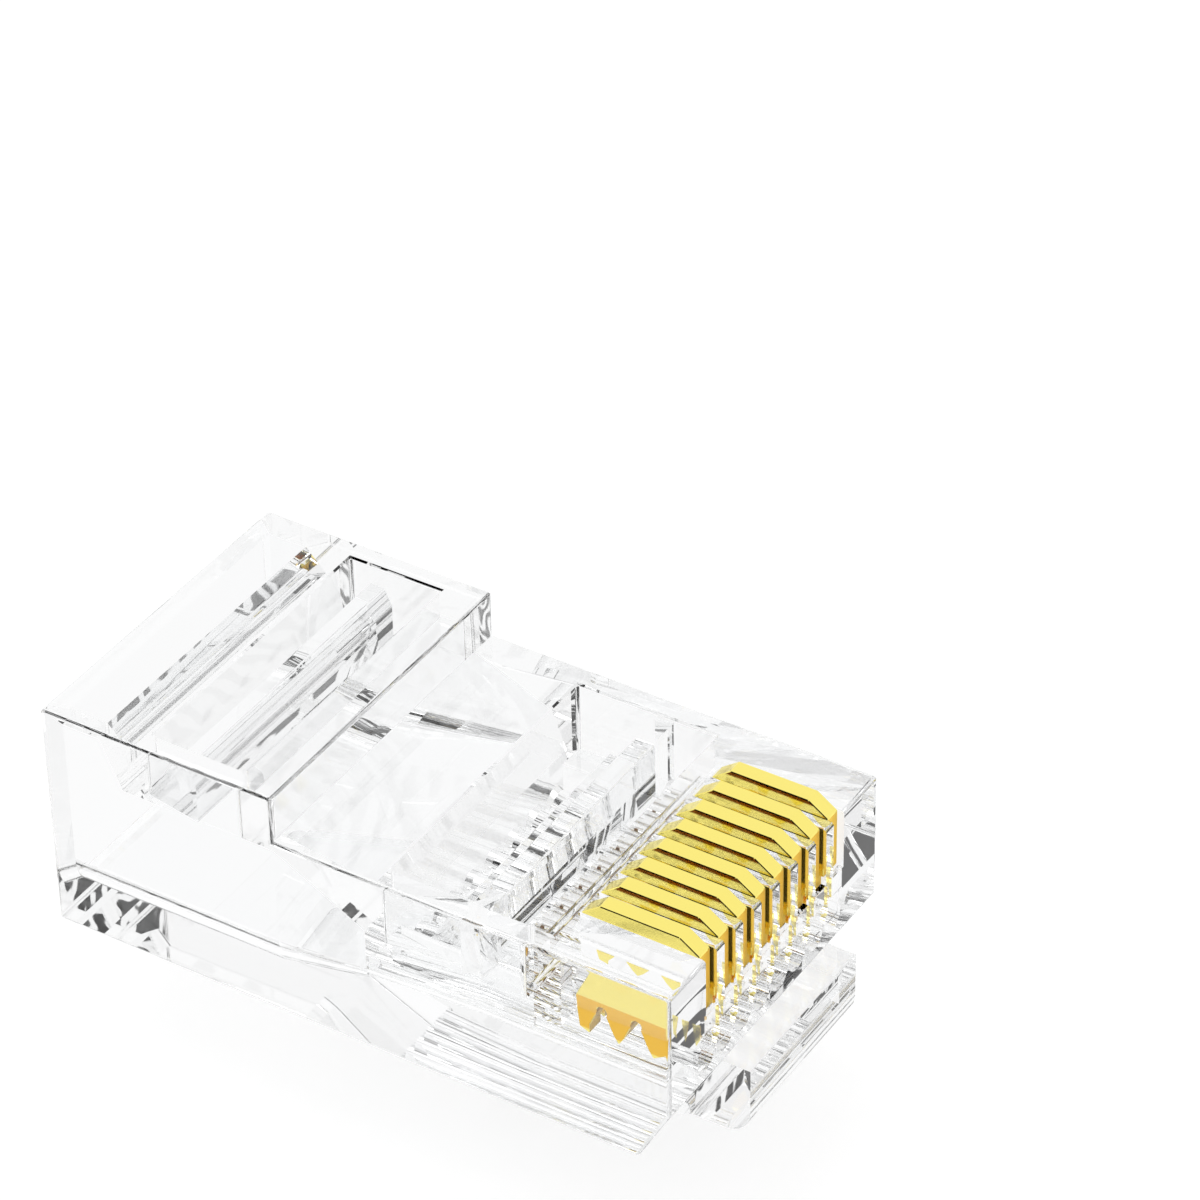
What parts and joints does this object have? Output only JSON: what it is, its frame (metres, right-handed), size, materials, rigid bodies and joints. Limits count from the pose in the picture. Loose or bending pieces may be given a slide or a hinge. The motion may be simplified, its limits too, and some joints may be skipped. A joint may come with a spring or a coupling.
{
  "type": "modular plug",
  "caption": "Clear eight-position modular plug for twisted-pair cable, with gold blade contacts standing proud as before crimping, two fold-down clamp bars and a sprung latch.",
  "frame": {"origin": "middle of the footprint, at the level of the lowest point of the latch tab", "axes": "+X along the plug, the way it goes into a socket, +Z towards the side of the contacts"},
  "size_m": [0.0226, 0.0116, 0.0115],
  "materials": {
    "clear_plastic": "clear polished moulded polycarbonate",
    "gold_contact": "bright gold plating over phosphor bronze"
  },
  "bodies": {
    "housing": {"housing": "clear_plastic"},
    "latch": {"latch": "clear_plastic"},
    "jacket_clamp": {"jacket_clamp": "clear_plastic"},
    "wire_clamp": {"wire_clamp": "clear_plastic"},
    "contact_1": {"contact_1": "gold_contact"},
    "contact_2": {"contact_2": "gold_contact"},
    "contact_3": {"contact_3": "gold_contact"},
    "contact_4": {"contact_4": "gold_contact"},
    "contact_5": {"contact_5": "gold_contact"},
    "contact_6": {"contact_6": "gold_contact"},
    "contact_7": {"contact_7": "gold_contact"},
    "contact_8": {"contact_8": "gold_contact"}
  },
  "joints": [
    {"name": "latch_flex", "type": "hinge", "parent": "housing", "child": "latch", "pos_m": [0.009, 0, 0.00321], "axis": [0, 1, 0], "range_deg": [-3, 9.5], "stiffness_Nm_per_rad": 0.3},
    {"name": "jacket_clamp_fold", "type": "hinge", "parent": "housing", "child": "jacket_clamp", "pos_m": [-0.0077, 0, 0.00955], "axis": [0, 1, 0], "range_deg": [0, 35]},
    {"name": "wire_clamp_fold", "type": "hinge", "parent": "housing", "child": "wire_clamp", "pos_m": [0.0053, 0, 0.00769], "axis": [0, -1, 0], "range_deg": [0, 15]},
    {"name": "contact_1_press", "type": "slide", "parent": "housing", "child": "contact_1", "axis": [0, 0, -1], "range_m": [0, 0.00078]},
    {"name": "contact_2_press", "type": "slide", "parent": "housing", "child": "contact_2", "axis": [0, 0, -1], "range_m": [0, 0.00078]},
    {"name": "contact_3_press", "type": "slide", "parent": "housing", "child": "contact_3", "axis": [0, 0, -1], "range_m": [0, 0.00078]},
    {"name": "contact_4_press", "type": "slide", "parent": "housing", "child": "contact_4", "axis": [0, 0, -1], "range_m": [0, 0.00078]},
    {"name": "contact_5_press", "type": "slide", "parent": "housing", "child": "contact_5", "axis": [0, 0, -1], "range_m": [0, 0.00078]},
    {"name": "contact_6_press", "type": "slide", "parent": "housing", "child": "contact_6", "axis": [0, 0, -1], "range_m": [0, 0.00078]},
    {"name": "contact_7_press", "type": "slide", "parent": "housing", "child": "contact_7", "axis": [0, 0, -1], "range_m": [0, 0.00078]},
    {"name": "contact_8_press", "type": "slide", "parent": "housing", "child": "contact_8", "axis": [0, 0, -1], "range_m": [0, 0.00078]}
  ],
  "couplings": [
    {"joint": "contact_2_press", "follows": "contact_1_press", "ratio": 1},
    {"joint": "contact_3_press", "follows": "contact_1_press", "ratio": 1},
    {"joint": "contact_4_press", "follows": "contact_1_press", "ratio": 1},
    {"joint": "contact_5_press", "follows": "contact_1_press", "ratio": 1},
    {"joint": "contact_6_press", "follows": "contact_1_press", "ratio": 1},
    {"joint": "contact_7_press", "follows": "contact_1_press", "ratio": 1},
    {"joint": "contact_8_press", "follows": "contact_1_press", "ratio": 1}
  ]
}
